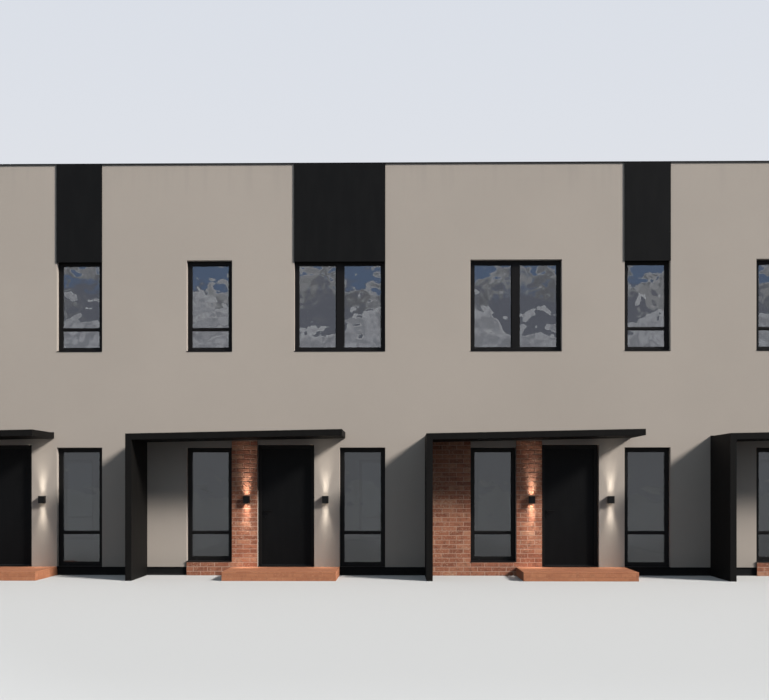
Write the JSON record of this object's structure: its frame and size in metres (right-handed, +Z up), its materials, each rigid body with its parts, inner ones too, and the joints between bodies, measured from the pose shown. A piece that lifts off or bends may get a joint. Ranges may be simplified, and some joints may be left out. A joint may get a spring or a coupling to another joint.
{
  "type": "terraced house row",
  "caption": "Flat-roofed terraced house row with an upper storey, in grey render, with black porch fins and canopies, brick facing beside the doors, and entrance doors that open inwards.",
  "frame": {"origin": "on the ground, at the middle of the row's outline", "axes": "+X along the row, to the right as seen from the street; +Y from the street front to the rear; +Z up"},
  "size_m": [20.292, 10.126, 7.26],
  "materials": {
    "concrete": "cast concrete, matte",
    "plinth": "black cement render on plinth boards, matte",
    "oak": "oiled oak boards, satin",
    "blockwork": "aerated concrete blocks with white inner plaster, matte",
    "plaster": "fine-grained warm grey render, matte",
    "roof_membrane": "welded roofing membrane, matte",
    "coping_metal": "powder-coated folded aluminium, satin",
    "panel_metal": "powder-coated sheet, fine-textured matte black",
    "frame_paint": "powder-coated aluminium profile, satin black",
    "window_glass": "clear double glazing",
    "sill_metal": "powder-coated folded aluminium, satin black",
    "clinker": "terracotta clinker, matte",
    "brick": "orange-red facing brick with pale mortar, matte",
    "threshold_metal": "dark bronze anodised, satin",
    "hinge_paint": "powder-coated steel, satin black",
    "lamp_paint": "powder-coated die casting, satin black",
    "door_paint": "powder-coated flush leaf, satin anthracite",
    "fitting_paint": "powder-coated steel, satin black"
  },
  "bodies": {
    "row": {"foundation_raft": "concrete", "plinth_boards": "plinth", "floor_boards": "oak", "ground_party_walls": "blockwork", "end_walls": "plaster", "front_blockwork_ground": "blockwork", "rear_blockwork_ground": "blockwork", "ring_beams": "concrete", "upper_floor_slab": "concrete", "upper_party_walls": "blockwork", "front_blockwork_upper": "blockwork", "rear_blockwork_upper": "blockwork", "roof_slab": "concrete", "roof_covering": "roof_membrane", "parapet_blockwork": "blockwork", "front_plaster_ground": "plaster", "front_plaster_upper": "plaster", "rear_plaster": "plaster", "copings": "coping_metal", "window_head_panels": "panel_metal", "front_ground_window_frames": "frame_paint", "front_ground_window_glass": "window_glass", "front_upper_window_frames": "frame_paint", "front_upper_window_glass": "window_glass", "rear_window_frames": "frame_paint", "rear_window_glass": "window_glass", "window_sills": "sill_metal", "porch_fins": "panel_metal", "porch_canopies": "panel_metal", "entrance_steps": "clinker", "brick_piers": "brick", "brick_aprons": "brick", "brick_side_panels": "brick", "door_frames": "frame_paint", "door_thresholds": "threshold_metal", "door_hinge_pins": "hinge_paint", "wall_lamps": "lamp_paint"},
    "door_1": {"house_1_door_leaf": "door_paint", "house_1_door_fittings": "fitting_paint"},
    "door_2": {"house_2_door_leaf": "door_paint", "house_2_door_fittings": "fitting_paint"},
    "door_3": {"house_3_door_leaf": "door_paint", "house_3_door_fittings": "fitting_paint"},
    "door_4": {"house_4_door_leaf": "door_paint", "house_4_door_fittings": "fitting_paint"}
  },
  "joints": [
    {"name": "door_1_hinge", "type": "hinge", "parent": "row", "child": "door_1", "pos_m": [-7.0475, -3.769, 1.2], "axis": [0, 0, -1], "range_deg": [0, 90]},
    {"name": "door_2_hinge", "type": "hinge", "parent": "row", "child": "door_2", "pos_m": [-2.0475, -3.769, 1.2], "axis": [0, 0, -1], "range_deg": [0, 90]},
    {"name": "door_3_hinge", "type": "hinge", "parent": "row", "child": "door_3", "pos_m": [2.9525, -3.769, 1.2], "axis": [0, 0, -1], "range_deg": [0, 90]},
    {"name": "door_4_hinge", "type": "hinge", "parent": "row", "child": "door_4", "pos_m": [7.9525, -3.769, 1.2], "axis": [0, 0, -1], "range_deg": [0, 90]}
  ]
}
